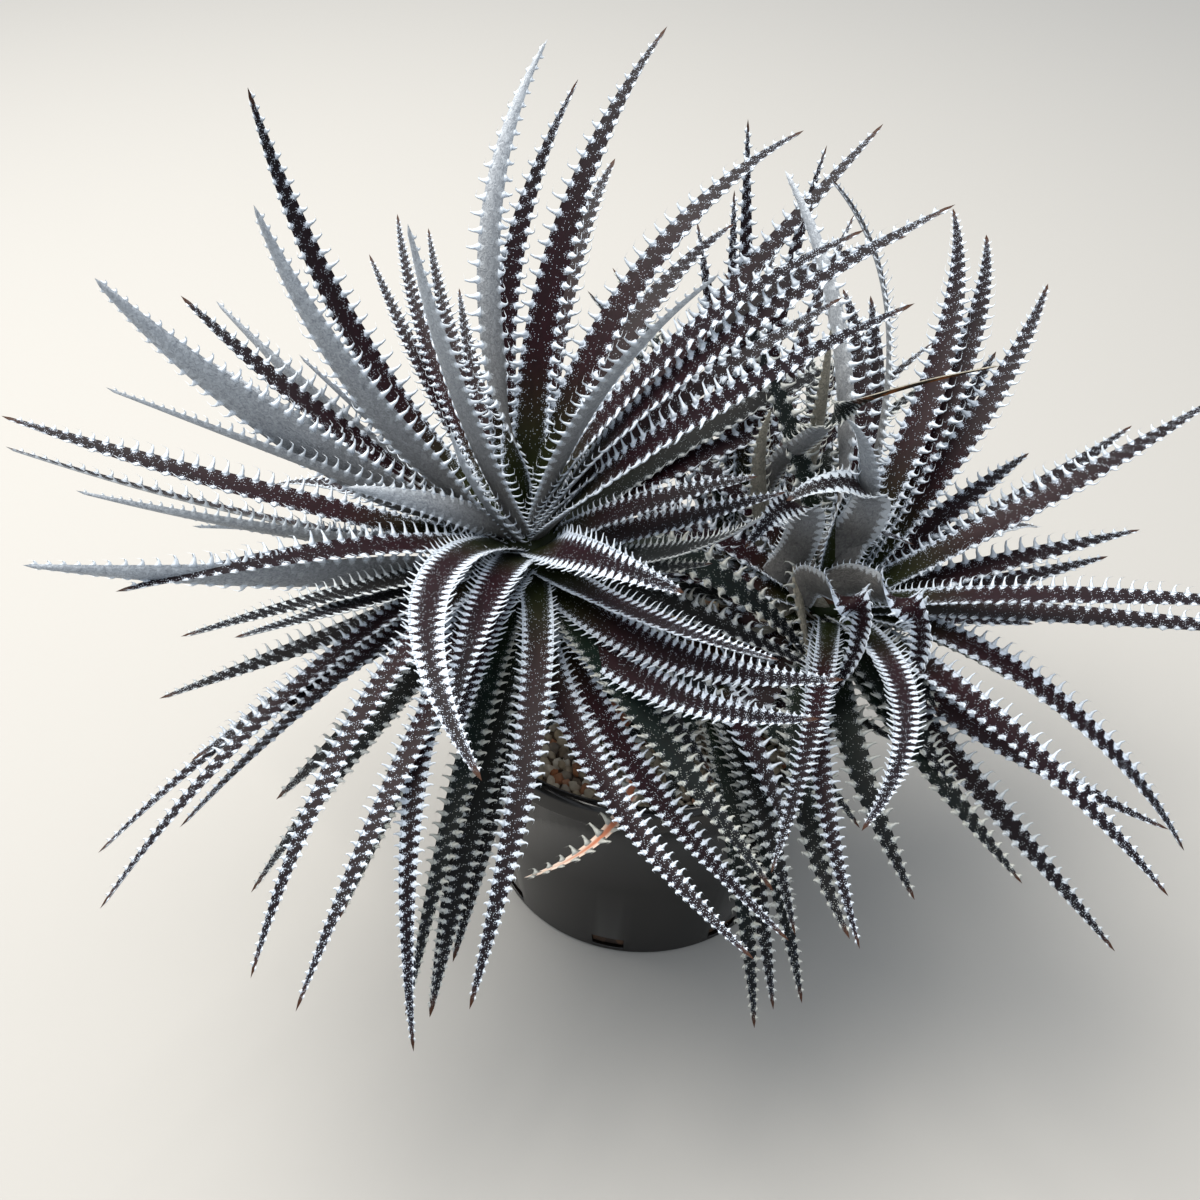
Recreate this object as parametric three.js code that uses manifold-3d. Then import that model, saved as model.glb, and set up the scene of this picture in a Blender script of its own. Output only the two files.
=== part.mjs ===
// Dyckia bromeliad, a clump of four rosettes in a black plastic nursery pot, dressed with gravel.
// Millimetres, +Z up. The origin is the centre of the pot's underside, which rests on the ground.
import * as THREE from "three";
import { mergeVertices } from "three/addons/utils/BufferGeometryUtils.js";
import Module from "manifold-3d";

const wasm = await Module();
wasm.setup();

// Pot
const POT_HEIGHT = 112;
const POT_BASE_RADIUS = 66;
const POT_NECK_RADIUS = 78.5; // outside of the wall where the rolled rim begins
const RIM_RADIUS = 82.5;
const RIM_DROP = 10; // height of the rolled rim
const WALL = 2;
const POT_SIDES = 48;
const SLOT_COUNT = 8; // drain slots around the foot of the wall
const SLOT_WIDTH = 14;
const SLOT_HEIGHT = 7;
const SLOT_SILL = 3;
const SLOT_CUT = 14; // length of the cut that opens a slot, which runs through the wall
const FIRST_SLOT = -102; // bearing of the slot at the front
const ROLL_STEPS = 5; // flats of the rolled rim

// Filling
const GAP = 0.3; // clearance kept between pieces that touch
const MIX_TOP = 92; // height of the potting mix
const GRAVEL_TOP = 99; // mean height of the gravel dressing
const GRAIN_RELIEF = 1.3; // how far a pebble stands above or below that
const GRAVEL_RINGS = 11;
const GRAIN_WAVES = [1.9, 0.7, 2.3, -0.9]; // two crossed waves, radians per millimetre, that part the pebbles

// Leaves
const SPINE_STEP = 21; // spacing of the spines along a margin
const SPINE_LENGTH = 5;
const SPINE_FADE = 0.45; // share of that length lost towards the tip
const FEWEST_SPINES = 4;
const NECK = 0.5; // share of the width lost at the root
const NECK_LENGTH = 0.25; // share of the leaf over which it widens
const TAPER = 0.92; // share of the width lost by the last station
const TAPER_POWER = 2.4;
const ROLL_LENGTH = 0.4; // share of the leaf over which it rolls about its midrib
const BLADE_DEPTH = 2.8; // keel below the upper face at the root
const TIP_DEPTH = 0.8;
const STEPS_PER_SPINE = 3;
const STEPS_PER_KEEL = 6; // the keel has a point at every second spine
const ROOT_STEPS = 6; // steps of the midrib that stay plain between the neighbours' roots
const AGE_DROP = 14; // a leaf that lies level starts this far below the crown's heart
const CROWN_FLATNESS = 0.76; // height over width of the ball of packed leaf bases round the heart
const CROWN_FACES = [16, 10]; // round it, and from pole to pole
const STEM_SIDES = 12;

// A head: its heart, where its stem enters the mix, half the width of its leaves, and its leaves.
// One row a leaf: bearing, rise, droop, sweep (degrees), length (mm), and for some a roll about the midrib.
// Bearing is counter-clockwise from +X. A leaf bends down by droop and sideways by sweep along its length.
const HEADS = [
  {
    name: "rosette_main",
    heart: [-50, 15, 168],
    foot: [-38, 12, 60],
    stemRadius: 9,
    crownRadius: 22,
    halfWidth: 6.4,
    leaves: [
      [14, 8, 42, 8, 148], // low leaves behind
      [66, 6, 40, -6, 165],
      [100, 8, 46, 6, 165],
      [146, 6, 40, -8, 172],
      [32, 48, 15, 5, 216], // long leaves to the right and behind
      [34, 57, 60, -4, 210],
      [48, 78, 70, -10, 205],
      [60, 58, 55, -10, 172],
      [88, 55, 38, -20, 178],
      [95, 74, 32, -58, 205],
      [110, 80, 15, -75, 190],
      [117, 33, 10, -17, 127],
      [119, 30, 12, -18, 169],
      [128, 28, 8, -13, 161],
      [130, 34, 17, -30, 176],
      [156, 34, -40, -15, 206],
      [195, 46, -30, 5, 182, 25], // left, grey underside turned up
      [190, 30, -30, 10, 200, 45],
      [171, 29, -6, -15, 167],
      [170, 34, -2, -6, 158, 50],
      [165, 36, -2, -6, 118, 45],
      [196, 38, 9, -6, 173, 40],
      [188, 15, -2, -24, 212],
      [190, 15, -8, -12, 208],
      [191, 14, -3, -7, 175, 45],
      [205, 0, -45, 0, 205, 45],
      [222, 30, 22, -18, 178],
      [205, 20, -30, 0, 85, 50], // short young leaves at the heart
      [215, 52, -25, 0, 75],
      [290, 42, 30, 25, 120],
      [228, 65, -14, 3, 164],
      [235, 82, 12, 90, 200],
      [318, 74, 27, 0, 173],
      [330, 66, 33, 27, 220], // right, reaching over the other heads
      [341, 73, 40, 8, 193],
      [320, 57, 20, 22, 204],
      [350, 36, 8, 8, 197],
      [345, 28, 0, 5, 112],
      [330, 24, -10, 10, 120],
      [293, -4, -39, 30, 175],
      [300, 4, -30, 22, 176],
      [304, 16, -10, 5, 156],
      [232, 34, 43, 70, 182], // front
      [258, 36, 45, 8, 140],
      [255, 21, 22, 15, 130],
      [277, -9, -5, 37, 196],
      [289, -12, -10, 22, 192],
      [296, 5, 20, 9, 178],
      [236, 28, 60, -4, 225],
      [226, 12, 38, -4, 202],
      [237, 20, 38, -5, 185],
      [228, 17, 2, -8, 158],
      [233, 15, -7, -6, 148],
      [226, 10, 4, -8, 162],
      [227, 6, 15, -7, 158],
      [246, 30, 72, 3, 222],
      [245, 11, 36, -8, 180],
      [235, -5, 13, -9, 140],
      [255, 23, 60, -5, 222],
      [249, 24, 75, 26, 225],
      [265, -3, 32, -7, 188],
      [281, 16, 60, -30, 198],
      [261, -2, 37, -2, 191],
      [270, -9, 18, -14, 167],
    ],
  },
  {
    name: "rosette_right",
    heart: [74, 10, 147],
    foot: [54, 8, 60],
    stemRadius: 8,
    crownRadius: 18.4,
    halfWidth: 6,
    leaves: [
      [70, 10, 44, 6, 165], // low leaves behind
      [40, 8, 42, 5, 170],
      [82, 8, 40, 5, 120],
      [42, 56, 45, 49, 194], // behind
      [38, 52, 43, 46, 191],
      [32, 41, 23, 35, 176],
      [46, 38, 18, 11, 136],
      [70, 73, 70, 29, 142],
      [64, 49, 22, 31, 136],
      [222, 112, 68, 4, 198],
      [110, 78, 22, 12, 182, 120],
      [21, 21, 11, 17, 161], // right
      [6, 32, 17, 25, 180],
      [32, 28, 23, 9, 117],
      [358, 25, 19, 16, 129],
      [13, 2, 2, 9, 132],
      [322, 36, 24, 17, 185],
      [325, 29, 23, 20, 185],
      [353, 9, 19, 9, 85],
      [320, 30, 78, 0, 176], // front
      [303, 20, 45, 8, 176],
      [310, -8, -12, 14, 155],
      [301, -5, 14, 6, 170],
      [290, -5, 10, 15, 135],
      [295, 0, 20, 5, 98],
      [268, -8, 10, 25, 128],
      [268, 20, 40, -25, 150],
      [253, 11, 36, 32, 158],
      [246, -4, 3, 43, 154],
      [298, 54, 54, -52, 140], // curled young leaves
      [278, 55, 65, -35, 130],
      [296, 24, 18, -60, 168],
      [220, 129, 145, 3, 93],
      [215, 120, 140, 3, 80],
      [213, 124, 83, 12, 92],
    ],
  },
  {
    name: "rosette_back",
    heart: [42, 60, 128],
    foot: [34, 46, 60],
    stemRadius: 5,
    crownRadius: 8,
    halfWidth: 4.2,
    leaves: [
      [101, 74, 10, -7, 182],
      [84, 70, 16, -24, 176],
      [116, 72, 32, -14, 146],
      [104, 64, 12, -14, 157],
      [70, 60, 25, -10, 160],
      [90, 56, 29, -14, 154],
      [70, 34, 30, 5, 140],
      [112, 30, 34, 5, 90],
      [148, 32, 30, 5, 95],
      [30, 30, 30, 5, 95],
    ],
  },
  {
    name: "rosette_front",
    heart: [22, -8, 126],
    foot: [20, -4, 60],
    stemRadius: 6,
    crownRadius: 13,
    halfWidth: 5,
    leaves: [
      [277, 16, 68, 0, 154],
      [280, 14, 60, 0, 147],
      [284, 16, 60, 0, 148],
      [283, 24, 55, 0, 132],
      [285, 38, 35, 0, 105],
      [322, 20, 30, 0, 60],
      [0, 60, 10, 0, 70],
    ],
  },
];

// Dead leaf: from the foot of the main rosette over the pot's rim
const DRY_START = [-36.5, 2.5, 104.5];
const DRY_ROW = [316, 6, 0, -103, 146];
const DRY_HALF_WIDTH = 2.6;

const JOIN_SLIVER = 0.01; // edges shorter than this, left where blades cross, are closed up

const radians = THREE.MathUtils.degToRad;

function solidOf(geometry) {
  const bare = geometry.clone();
  bare.deleteAttribute("normal");
  bare.deleteAttribute("uv");
  const merged = mergeVertices(bare, 1e-4);
  return new wasm.Manifold(
    new wasm.Mesh({
      numProp: 3,
      vertProperties: new Float32Array(merged.attributes.position.array),
      triVerts: new Uint32Array(merged.index.array),
    }),
  );
}

function geometryOf(solid) {
  const mesh = solid.getMesh();
  const geometry = new THREE.BufferGeometry();
  geometry.setAttribute("position", new THREE.BufferAttribute(new Float32Array(mesh.vertProperties), 3));
  geometry.setIndex(new THREE.BufferAttribute(new Uint32Array(mesh.triVerts), 1));
  geometry.computeVertexNormals();
  return geometry;
}

function lathe(points, segments) {
  const outline = points.map(([r, z]) => new THREE.Vector2(r, z));
  return new THREE.LatheGeometry(outline, segments).rotateX(Math.PI / 2);
}

// A plain round rod between two points.
function rod(from, to, radius, sides) {
  const axis = to.clone().sub(from);
  const geometry = new THREE.CylinderGeometry(radius, radius, axis.length(), sides);
  const upright = new THREE.Vector3(0, 1, 0);
  const turn = new THREE.Quaternion().setFromUnitVectors(upright, axis.clone().normalize());
  geometry.applyQuaternion(turn);
  const middle = from.clone().add(to).multiplyScalar(0.5);
  return geometry.translate(middle.x, middle.y, middle.z);
}

// The midrib of a leaf in equal steps: points, with the ways to its left margin and out of its face.
function midrib(start, [bearing, rise, droop, sweep, length, roll = 0], steps) {
  const point = start.clone();
  const stations = [];
  for (let i = 0; i <= steps; i++) {
    const s = i / steps;
    const turn = radians(bearing + sweep * s);
    const climb = radians(rise - droop * s);
    const along = new THREE.Vector3(
      Math.cos(turn) * Math.cos(climb),
      Math.sin(turn) * Math.cos(climb),
      Math.sin(climb),
    );
    const left = new THREE.Vector3(-Math.sin(turn), Math.cos(turn), 0);
    left.applyAxisAngle(along, radians(roll) * THREE.MathUtils.smoothstep(s, 0, ROLL_LENGTH));
    stations.push({ s, point: point.clone(), left, up: along.clone().cross(left) });
    point.addScaledVector(along, length / steps);
  }
  return stations;
}

// Half the blade's width: a neck between its neighbours' roots, then nearly even, then a long point.
function halfWidthAt(s, halfWidth) {
  const neck = NECK * Math.max(0, 1 - s / NECK_LENGTH);
  return halfWidth * (1 - neck - TAPER * s ** TAPER_POWER);
}

// One leaf: a flat upper face whose two margins carry hooked spines, and a keel beneath.
function leaf(start, row, halfWidth) {
  const length = row[4];
  const steps = STEPS_PER_SPINE * Math.max(FEWEST_SPINES, Math.round(length / SPINE_STEP));
  const stations = midrib(start, row, steps);
  const positions = [];
  const faces = [];
  const vertex = (station, side, drop) => {
    const p = station.point.clone().addScaledVector(station.left, side).addScaledVector(station.up, -drop);
    return positions.push(p.x, p.y, p.z) / 3 - 1;
  };
  const margin = [];
  const keel = [];
  stations.slice(0, -1).forEach((station, i) => {
    const half = halfWidthAt(station.s, halfWidth);
    const spine = i % STEPS_PER_SPINE === STEPS_PER_SPINE - 1 && i > ROOT_STEPS;
    const valley = i % STEPS_PER_SPINE === 0 && i >= ROOT_STEPS;
    if (i === 0 || spine || valley) {
      const reach = spine ? half + SPINE_LENGTH * (1 - SPINE_FADE * station.s ** 2) : half;
      margin.push({ i, left: vertex(station, reach, 0), right: vertex(station, -reach, 0) });
    }
    if (i % STEPS_PER_KEEL === 0) {
      keel.push({ i, k: vertex(station, 0, BLADE_DEPTH + (TIP_DEPTH - BLADE_DEPTH) * station.s) });
    }
  });
  const tip = vertex(stations[steps], 0, 0);
  margin.push({ i: steps, left: tip, right: tip });
  keel.push({ i: steps, k: tip });

  faces.push(margin[0].left, keel[0].k, margin[0].right);
  let below = 0;
  for (let m = 0; m + 1 < margin.length; m++) {
    const a = margin[m];
    const b = margin[m + 1];
    faces.push(a.left, a.right, b.right);
    if (b.left !== b.right) faces.push(a.left, b.right, b.left);
    while (keel[below + 1].i <= a.i) below++;
    const k = keel[below].k;
    const last = b.left === b.right;
    faces.push(a.left, b.left, k, b.right, a.right, k);
    if (b.i >= keel[below + 1].i && !last) {
      const next = keel[below + 1].k;
      faces.push(b.left, next, k, next, b.right, k);
    }
  }
  const geometry = new THREE.BufferGeometry();
  geometry.setAttribute("position", new THREE.Float32BufferAttribute(positions, 3));
  geometry.setIndex(faces);
  return geometry;
}

function leafStart(heart, rise) {
  return heart.clone().add(new THREE.Vector3(0, 0, -AGE_DROP * (1 - rise / 90)));
}

// A head's stem, or with a clearance the hole that it stands in.
function stemOf(head, clearance) {
  const heart = new THREE.Vector3(...head.heart);
  const foot = new THREE.Vector3(...head.foot);
  const down = foot.clone().sub(heart).normalize();
  const from = foot.addScaledVector(down, clearance);
  const radius = head.stemRadius + clearance;
  return solidOf(rod(from, heart, radius, STEM_SIDES));
}

// All the leaves of one head, sunk into its short stem.
function rosette(head) {
  const heart = new THREE.Vector3(...head.heart);
  const crown = new THREE.SphereGeometry(head.crownRadius, ...CROWN_FACES).rotateX(Math.PI / 2);
  crown.scale(1, 1, CROWN_FLATNESS).translate(heart.x, heart.y, heart.z - AGE_DROP / 2);
  let solid = stemOf(head, 0).add(solidOf(crown));
  for (const row of head.leaves) {
    solid = solid.add(solidOf(leaf(leafStart(heart, row[1]), row, head.halfWidth)));
  }
  // Where leaves close a pocket between them, the pocket is filled: only the outer skin is kept.
  const skin = solid.decompose().sort((a, b) => b.volume() - a.volume())[0];
  return geometryOf(skin.simplify(JOIN_SLIVER));
}

function wallRadiusAt(z) {
  const slope = (POT_NECK_RADIUS - POT_BASE_RADIUS) / (POT_HEIGHT - RIM_DROP);
  return POT_BASE_RADIUS + slope * z;
}

// Injection-moulded pot: a tapered wall, a flat floor, a rolled rim and drain slots around its foot.
function pot() {
  const rimFoot = POT_HEIGHT - RIM_DROP;
  const rollRadius = (RIM_RADIUS - POT_NECK_RADIUS + WALL) / 2;
  const rollCentre = RIM_RADIUS - rollRadius;
  const roll = [];
  for (let i = 0; i <= ROLL_STEPS; i++) {
    const turn = (Math.PI * i) / ROLL_STEPS;
    const height = POT_HEIGHT - rollRadius + rollRadius * Math.sin(turn);
    roll.push([rollCentre + rollRadius * Math.cos(turn), height]);
  }
  const inner = rollCentre - rollRadius;
  const body = solidOf(
    lathe(
      [
        [0, 0],
        [POT_BASE_RADIUS, 0],
        [wallRadiusAt(rimFoot), rimFoot],
        [RIM_RADIUS, rimFoot + 1],
        ...roll,
        [inner, rimFoot],
        [wallRadiusAt(WALL) - WALL, WALL],
        [0, WALL],
      ],
      POT_SIDES,
    ),
  );
  let slotted = body;
  for (let i = 0; i < SLOT_COUNT; i++) {
    const slot = new THREE.BoxGeometry(SLOT_CUT, SLOT_WIDTH, SLOT_HEIGHT);
    slot.translate(POT_BASE_RADIUS, 0, SLOT_SILL + SLOT_HEIGHT / 2);
    slot.rotateZ(radians(FIRST_SLOT + (360 * i) / SLOT_COUNT));
    slotted = slotted.subtract(solidOf(slot));
  }
  return geometryOf(slotted);
}

function cutStems(solid) {
  return HEADS.reduce((rest, head) => rest.subtract(stemOf(head, GAP)), solid);
}

function pottingMix() {
  const inset = WALL + GAP;
  const outline = [
    [0, inset],
    [wallRadiusAt(inset) - inset, inset],
    [wallRadiusAt(MIX_TOP) - inset, MIX_TOP],
    [0, MIX_TOP],
  ];
  return geometryOf(cutStems(solidOf(lathe(outline, POT_SIDES))));
}

// Pebbles shed over the mix: one sheet of stones, each a rise or a dip in its upper face.
function gravel() {
  const floor = MIX_TOP + GAP;
  const edge = wallRadiusAt(floor) - WALL - GAP;
  const outline = [
    [0, floor],
    [edge, floor],
  ];
  for (let ring = GRAVEL_RINGS; ring >= 0; ring--) {
    outline.push([(edge * ring) / GRAVEL_RINGS, GRAVEL_TOP]);
  }
  const sheet = lathe(outline, POT_SIDES);
  const place = sheet.attributes.position;
  const [a, b, c, d] = GRAIN_WAVES;
  for (let i = 0; i < place.count; i++) {
    const x = place.getX(i);
    const y = place.getY(i);
    const grain = Math.sin(a * x + b * y) * Math.cos(c * y + d * x);
    if (place.getZ(i) > floor + GAP) place.setZ(i, GRAVEL_TOP + GRAIN_RELIEF * grain);
  }
  return geometryOf(cutStems(solidOf(sheet)));
}

function finish(color, roughness) {
  return new THREE.MeshStandardMaterial({ color, roughness, metalness: 0 });
}

function piece(name, geometry, material) {
  const mesh = new THREE.Mesh(geometry, material);
  mesh.name = name;
  return mesh;
}

const part = new THREE.Group();
part.add(piece("pot", pot(), finish(0x17181b, 0.3)));
part.add(piece("potting_mix", pottingMix(), finish(0x3a2c22, 1)));
part.add(piece("gravel_dressing", gravel(), finish(0xb8a58c, 0.9)));
const leafSkin = finish(0x3b2a2c, 0.55);
for (const head of HEADS) {
  part.add(piece(head.name, rosette(head), leafSkin));
}
part.add(
  piece("dry_leaf", leaf(new THREE.Vector3(...DRY_START), DRY_ROW, DRY_HALF_WIDTH), finish(0xd9c0a8, 0.8)),
);

export default part;
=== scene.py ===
"""Dyckia bromeliad, a clump of four rosettes with hooked white spines, in a black nursery pot.

A Blender 4.5 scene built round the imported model. Metres, +Z up, the origin under the pot. The
sizes of the plant and its pot are named in millimetres.
"""
import math
import random

import bmesh
import bpy
from mathutils import Matrix, Vector, noise


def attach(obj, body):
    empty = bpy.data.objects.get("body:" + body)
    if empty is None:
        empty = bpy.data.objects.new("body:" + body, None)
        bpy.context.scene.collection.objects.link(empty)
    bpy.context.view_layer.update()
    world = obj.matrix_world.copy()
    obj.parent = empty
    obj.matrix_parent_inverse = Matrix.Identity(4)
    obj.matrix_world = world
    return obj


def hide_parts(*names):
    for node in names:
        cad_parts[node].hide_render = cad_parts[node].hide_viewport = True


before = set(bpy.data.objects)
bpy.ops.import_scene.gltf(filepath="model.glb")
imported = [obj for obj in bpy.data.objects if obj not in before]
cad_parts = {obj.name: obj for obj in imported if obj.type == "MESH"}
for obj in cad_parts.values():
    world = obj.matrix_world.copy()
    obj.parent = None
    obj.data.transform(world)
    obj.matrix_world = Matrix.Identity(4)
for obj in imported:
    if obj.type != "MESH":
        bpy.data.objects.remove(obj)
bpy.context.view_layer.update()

# Pot: a round nursery pot, injection moulded in one shot of black polypropylene. Its wall tapers
# to a flat floor, its rim is rolled over for grip, and drain slots are moulded round its foot.
MM = 0.001
POT_HEIGHT = 112
POT_BASE_RADIUS = 66
POT_NECK_RADIUS = 78.5
RIM_RADIUS = 82.5
RIM_FOOT = 102
WALL = 2
SLOT_SILL = 3
SLOT_TOP = 10
SLOT_COUNT = 8
FIRST_SLOT = -102
SLOT_SEGMENTS = 4  # a slot is this many of the wall's segments wide, 14 mm
POT_SEGMENTS = 120
SLOT_ROUND = 0.4
FOOT_ROUND = 1.6  # radius of the edge between the wall and the underside
RIM_ROUND = 0.8  # radius of the corner where the rim springs from the wall
RIM_STEP = 0.2  # how far the wall steps in below that corner
BEAD = 0.45  # how far the moulded bead below the rim stands out
BEAD_FOOT = 96
BEAD_TOP = 98
ARC_STEPS = 8


def linear(hex_colour):
    """An sRGB hex colour as linear red, green, blue and alpha."""
    parts = [int(hex_colour[i : i + 2], 16) / 255 for i in (1, 3, 5)]
    return [c / 12.92 if c <= 0.04045 else ((c + 0.055) / 1.055) ** 2.4 for c in parts] + [1]


# The sockets of a Mix node that is set to colours
FACTOR, FIRST, SECOND, MIXED = 0, 6, 7, 2


def feed(tree, node, inputs):
    """Gives each input a value, a hex colour, or a link from a socket or a node's main output."""
    for socket, value in inputs.items():
        if isinstance(value, str):
            value = linear(value)
        if isinstance(value, bpy.types.Node):
            value = value.outputs[MIXED if value.bl_idname == "ShaderNodeMix" else 0]
        if isinstance(value, bpy.types.NodeSocket):
            tree.links.new(value, node.inputs[socket])
        else:
            node.inputs[socket].default_value = value


def add(tree, kind, inputs, **settings):
    """Adds a shader node with its settings, and feeds its inputs."""
    made = tree.nodes.new("ShaderNode" + kind)
    for name, value in settings.items():
        setattr(made, name, value)
    feed(tree, made, inputs)
    return made


def new_material(name):
    """A material of that name, with its node tree and its shader."""
    material = bpy.data.materials.new(name)
    material.use_nodes = True
    return material, material.node_tree, material.node_tree.nodes["Principled BSDF"]


def place_piece(name, shape, materials, node):
    """Makes the bmesh a smooth piece that stands for a CAD node and rides with the pot."""
    mesh = bpy.data.meshes.new(name)
    shape.to_mesh(mesh)
    shape.free()
    mesh.shade_smooth()
    for material in materials:
        mesh.materials.append(material)
    piece = bpy.data.objects.new(name, mesh)
    bpy.context.scene.collection.objects.link(piece)
    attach(piece, "root")
    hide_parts(node)


def wall_radius(height):
    """Outside radius of the tapered wall."""
    return POT_BASE_RADIUS + (POT_NECK_RADIUS - POT_BASE_RADIUS) * height / RIM_FOOT


def on_wall(height, inwards=0):
    """A point of the profile on the tapered wall, or that far inside it."""
    return wall_radius(height) - inwards, height


def arc(centre, radius, start, end):
    """Points in the profile's plane on an arc, from one angle in degrees to another."""
    for step in range(ARC_STEPS + 1):
        angle = math.radians(start + (end - start) * step / ARC_STEPS)
        yield centre[0] + radius * math.cos(angle), centre[1] + radius * math.sin(angle)


roll_radius = (RIM_RADIUS - POT_NECK_RADIUS + WALL) / 2
roll_middle = RIM_RADIUS - roll_radius
inside = roll_middle - roll_radius
foot_middle = wall_radius(FOOT_ROUND) - FOOT_ROUND
profile = [
    (0, 0),
    *arc((foot_middle, FOOT_ROUND), FOOT_ROUND, -90, 0),
    on_wall(SLOT_SILL),
    on_wall(SLOT_TOP),
    on_wall(RIM_FOOT / 2),
    on_wall(BEAD_FOOT),
    (wall_radius(BEAD_FOOT + 0.4) + BEAD, BEAD_FOOT + 0.6),
    (wall_radius(BEAD_TOP - 0.4) + BEAD, BEAD_TOP - 0.6),
    on_wall(BEAD_TOP),
    on_wall(RIM_FOOT, RIM_STEP),
    *arc((RIM_RADIUS - RIM_ROUND, RIM_FOOT + RIM_ROUND), RIM_ROUND, -90, 0),
    *arc((roll_middle, POT_HEIGHT - roll_radius), roll_radius, 0, 180),
    (inside, RIM_FOOT),
    on_wall(RIM_FOOT / 2, WALL),
    on_wall(SLOT_TOP, WALL),
    on_wall(SLOT_SILL, WALL),
    on_wall(WALL, WALL),
    (0, WALL),
]
shape = bmesh.new()
points = [shape.verts.new((r * MM, 0, z * MM)) for r, z in profile]
edges = [shape.edges.new(pair) for pair in zip(points, points[1:])]
bmesh.ops.spin(
    shape,
    geom=points + edges,
    cent=(0, 0, 0),
    axis=(0, 0, 1),
    angle=2 * math.pi,
    steps=POT_SEGMENTS,
    use_merge=True,
)
bmesh.ops.remove_doubles(shape, verts=shape.verts, dist=0.01 * MM)
half_slot = math.radians(180 * SLOT_SEGMENTS / POT_SEGMENTS)
for i in range(SLOT_COUNT):
    bearing = math.radians(FIRST_SLOT + 360 * i / SLOT_COUNT)
    way = [math.cos(bearing), math.sin(bearing)]
    window = []
    for face in shape.faces:
        middle = face.calc_center_median()
        beside = middle.xy.dot(way) > middle.xy.length * math.cos(half_slot)
        if beside and SLOT_SILL * MM < middle.z < SLOT_TOP * MM:
            window.append(face)
    around = []
    for edge in [edge for face in window for edge in face.edges]:
        if sum(face in window for face in edge.link_faces) == 1:
            around.append(edge)
    bmesh.ops.delete(shape, geom=window, context="FACES")
    bmesh.ops.bridge_loops(shape, edges=around)
    bmesh.ops.bevel(
        shape,
        geom=[edge for edge in around if edge.is_valid],
        offset=SLOT_ROUND * MM,
        segments=2,
        profile=0.5,
        affect="EDGES",
        material=-1,
    )
bmesh.ops.recalc_face_normals(shape, faces=shape.faces)

# Polypropylene straight from the mould: glossy black, with fine scuffs, and with a film of dust
# and dried water that dulls it in streaks about 17 mm wide and 80 mm long down the wall.
pot_plastic, tree, shader = new_material("moulded_black_polypropylene")
coordinates = add(tree, "TexCoord", {}).outputs["Object"]
stretched = add(tree, "Mapping", {"Vector": coordinates, "Scale": (60, 60, 12)})
film = add(tree, "TexNoise", {"Vector": stretched, "Scale": 1, "Detail": 6, "Roughness": 0.6})
dust = add(
    tree,
    "MapRange",
    {"Value": film, "From Min": 0.5, "From Max": 0.85, "To Min": 0, "To Max": 0.16},
)
# Both colours are tinted warm brown as a painted reflection of brown paving; the dust streaks that
# mix them are real.
pot_colour_with_painted_reflection = add(tree, "Mix", {FACTOR: dust, FIRST: "#0c0a09", SECOND: "#2b2622"}, data_type="RGBA")
dulled = add(
    tree,
    "MapRange",
    {"Value": film, "From Min": 0.3, "From Max": 0.8, "To Min": 0.1, "To Max": 0.24},
)
scuffs = add(tree, "TexNoise", {"Vector": coordinates, "Scale": 1 / (1.2 * MM), "Detail": 3})
scuffed = add(tree, "Bump", {"Height": scuffs, "Strength": 0.06, "Distance": 0.2 * MM})
feed(tree, shader, {"Base Color": pot_colour_with_painted_reflection, "Roughness": dulled, "Normal": scuffed, "IOR": 1.49})
place_piece("nursery_pot", shape, [pot_plastic], "pot")

# Potting mix: composted bark and peat, filled round the roots and firmed by hand. Only its sides
# show, dark and damp, through the drain slots, so the solid of the frame stays.
potting_mix, tree, shader = new_material("composted_bark_mix")
coordinates = add(tree, "TexCoord", {}).outputs["Object"]
chips = add(tree, "TexVoronoi", {"Vector": coordinates, "Scale": 1 / (5 * MM), "Randomness": 1})
bark = add(
    tree,
    "Mix",
    {FACTOR: chips.outputs["Color"], FIRST: "#1f1611", SECOND: "#5a4230"},
    data_type="RGBA",
)
crumbs = add(tree, "TexNoise", {"Vector": coordinates, "Scale": 1 / (1.5 * MM), "Detail": 5})
lumps = add(tree, "Math", {0: chips, 1: crumbs}, operation="SUBTRACT")
rough = add(tree, "Bump", {"Height": lumps, "Strength": 0.8, "Distance": 1 * MM})
feed(tree, shader, {"Base Color": bark, "Roughness": 0.9, "Normal": rough})
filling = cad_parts["potting_mix"].data
filling.materials.clear()
filling.materials.append(potting_mix)

# Gravel dressing: washed river grit of 3 to 5 mm, cream and tan, poured over the mix. Each grain
# is a rounded pebble of its own, half sunk in a bed that stands for the grit below and is coloured
# dark brown as painted shade in the gaps between the grains.
GRAVEL_FLOOR = 92.3
GRAVEL_BED = 96.2
GRAVEL_LEVEL = 97.9  # mean height of the grains' middles
GRAVEL_EDGE = 74.6
GRAIN_PITCH = 3.9
GRAIN_RADII = (1.5, 2.5)
GRAIN_JITTER = 1.1
GRAIN_SINK = 1.0
GRAIN_LONG = 1.15
GRAIN_SHORT = 0.95
GRAIN_FLATNESS = (0.55, 0.85)
LUMP_SCALE = 1.5
LUMP_HEIGHT = 0.5
STEMS = [(-38, 12, 11), (54, 8, 10), (34, 46, 7), (20, -4, 8)]  # where no grain lies: x, y, radius


def pour(part, shape):
    """Adds a bmesh to the shape and frees it."""
    strip = bpy.data.meshes.new("strip")
    part.to_mesh(strip)
    part.free()
    shape.from_mesh(strip)
    bpy.data.meshes.remove(strip)


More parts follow.
